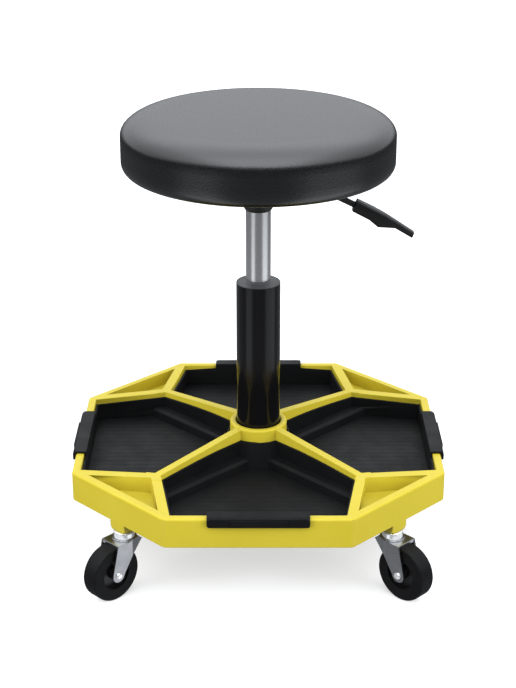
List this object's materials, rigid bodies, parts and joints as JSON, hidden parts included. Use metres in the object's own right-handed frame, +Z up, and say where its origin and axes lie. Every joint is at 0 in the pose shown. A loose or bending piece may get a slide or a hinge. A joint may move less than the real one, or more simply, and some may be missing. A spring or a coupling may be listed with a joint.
{
  "type": "rolling creeper seat",
  "caption": "Workshop stool with a round padded seat on a gas column, in an octagonal tray base on swivel casters.",
  "frame": {"origin": "on the floor under the column's axis", "axes": "+Z up along the column, +X towards the height lever, -Y towards the front tray"},
  "size_m": [0.426, 0.426, 0.5048],
  "materials": {
    "yellow_moulding": "satin moulded polypropylene with a fine grain",
    "tray_plastic": "matt moulded plastic",
    "vinyl": "fine-grained black vinyl with a soft sheen",
    "foam": "open-cell foam",
    "plywood": "plain sanded plywood",
    "gloss_black": "gloss black paint",
    "black_paint": "satin black paint",
    "cylinder_steel": "fine-drawn chromed steel",
    "zinc": "satin zinc plate",
    "bright_steel": "bright plated steel",
    "steel": "turned steel",
    "black_plastic": "satin moulded plastic",
    "tyre": "matt solid rubber",
    "rubber": "black rubber"
  },
  "bodies": {
    "base": {"tray_frame": "yellow_moulding", "hub_sleeve": "steel", "column_tube": "gloss_black", "column_end_plate": "steel", "guide_bush": "black_plastic", "bearing_race_lower": "steel", "bearing_balls": "bright_steel", "caster_stem_1": "zinc", "caster_stem_2": "zinc", "caster_stem_3": "zinc", "caster_stem_4": "zinc", "caster_cup_1": "bright_steel", "caster_cup_2": "bright_steel", "caster_cup_3": "bright_steel", "caster_cup_4": "bright_steel", "caster_balls": "bright_steel"},
    "lift_rod": {"piston_rod": "cylinder_steel", "piston": "steel", "bearing_race_upper": "steel", "bump_stop": "rubber", "rod_clip": "steel"},
    "seat": {"gas_cylinder": "cylinder_steel", "rod_guide": "black_plastic", "valve_body": "steel", "taper_socket": "black_paint", "lift_housing": "black_paint", "lever_pin": "steel", "seat_plate": "black_paint", "plate_washers": "zinc", "plate_bolts": "zinc", "t_nuts": "zinc", "seat_board": "plywood", "seat_foam": "foam", "seat_cover": "vinyl"},
    "release_button": {"release_pin": "steel"},
    "lever": {"lever_rod": "black_paint", "lever_grip": "black_plastic"},
    "front_tray": {"tray_front": "tray_plastic"},
    "right_tray": {"tray_right": "tray_plastic"},
    "back_tray": {"tray_back": "tray_plastic"},
    "left_tray": {"tray_left": "tray_plastic"},
    "caster_1": {"caster_fork_1": "zinc", "caster_axle_1": "bright_steel"},
    "wheel_1": {"caster_wheel_1": "black_plastic", "caster_tyre_1": "tyre"},
    "caster_2": {"caster_fork_2": "zinc", "caster_axle_2": "bright_steel"},
    "wheel_2": {"caster_wheel_2": "black_plastic", "caster_tyre_2": "tyre"},
    "caster_3": {"caster_fork_3": "zinc", "caster_axle_3": "bright_steel"},
    "wheel_3": {"caster_wheel_3": "black_plastic", "caster_tyre_3": "tyre"},
    "caster_4": {"caster_fork_4": "zinc", "caster_axle_4": "bright_steel"},
    "wheel_4": {"caster_wheel_4": "black_plastic", "caster_tyre_4": "tyre"}
  },
  "joints": [
    {"name": "seat_swivel", "type": "hinge", "parent": "base", "child": "lift_rod", "pos_m": [0, 0, 0.09], "axis": [0, 0, 1], "continuous": true},
    {"name": "seat_height", "type": "slide", "parent": "lift_rod", "child": "seat", "axis": [0, 0, 1], "range_m": [-0.084, 0]},
    {"name": "lever_lift", "type": "hinge", "parent": "seat", "child": "lever", "pos_m": [0.022, 0, 0.428], "axis": [0, -1, 0], "range_deg": [0, 7], "stiffness_Nm_per_rad": 2, "springref_deg": -3.44},
    {"name": "button_press", "type": "slide", "parent": "seat", "child": "release_button", "axis": [0, 0, -1], "range_m": [0, 0.0034]},
    {"name": "front_tray_lift", "type": "slide", "parent": "base", "child": "front_tray", "axis": [0, 0, 1], "range_m": [0, 0.06]},
    {"name": "right_tray_lift", "type": "slide", "parent": "base", "child": "right_tray", "axis": [0, 0, 1], "range_m": [0, 0.06]},
    {"name": "back_tray_lift", "type": "slide", "parent": "base", "child": "back_tray", "axis": [0, 0, 1], "range_m": [0, 0.06]},
    {"name": "left_tray_lift", "type": "slide", "parent": "base", "child": "left_tray", "axis": [0, 0, 1], "range_m": [0, 0.06]},
    {"name": "caster_1_swivel", "type": "hinge", "parent": "base", "child": "caster_1", "pos_m": [-0.14718, -0.14718, 0.067], "axis": [0, 0, 1], "continuous": true},
    {"name": "wheel_1_spin", "type": "hinge", "parent": "caster_1", "child": "wheel_1", "pos_m": [-0.16203, -0.16203, 0.0315], "axis": [0.7071, -0.7071, 0], "continuous": true},
    {"name": "caster_2_swivel", "type": "hinge", "parent": "base", "child": "caster_2", "pos_m": [0.14718, -0.14718, 0.067], "axis": [0, 0, 1], "continuous": true},
    {"name": "wheel_2_spin", "type": "hinge", "parent": "caster_2", "child": "wheel_2", "pos_m": [0.16203, -0.16203, 0.0315], "axis": [0.7071, 0.7071, 0], "continuous": true},
    {"name": "caster_3_swivel", "type": "hinge", "parent": "base", "child": "caster_3", "pos_m": [0.14718, 0.14718, 0.067], "axis": [0, 0, 1], "continuous": true},
    {"name": "wheel_3_spin", "type": "hinge", "parent": "caster_3", "child": "wheel_3", "pos_m": [0.16203, 0.16203, 0.0315], "axis": [-0.7071, 0.7071, 0], "continuous": true},
    {"name": "caster_4_swivel", "type": "hinge", "parent": "base", "child": "caster_4", "pos_m": [-0.14718, 0.14718, 0.067], "axis": [0, 0, 1], "continuous": true},
    {"name": "wheel_4_spin", "type": "hinge", "parent": "caster_4", "child": "wheel_4", "pos_m": [-0.16203, 0.16203, 0.0315], "axis": [-0.7071, -0.7071, 0], "continuous": true}
  ],
  "couplings": [
    {"joint": "button_press", "follows": "lever_lift", "m_per_rad": 0.0262}
  ]
}
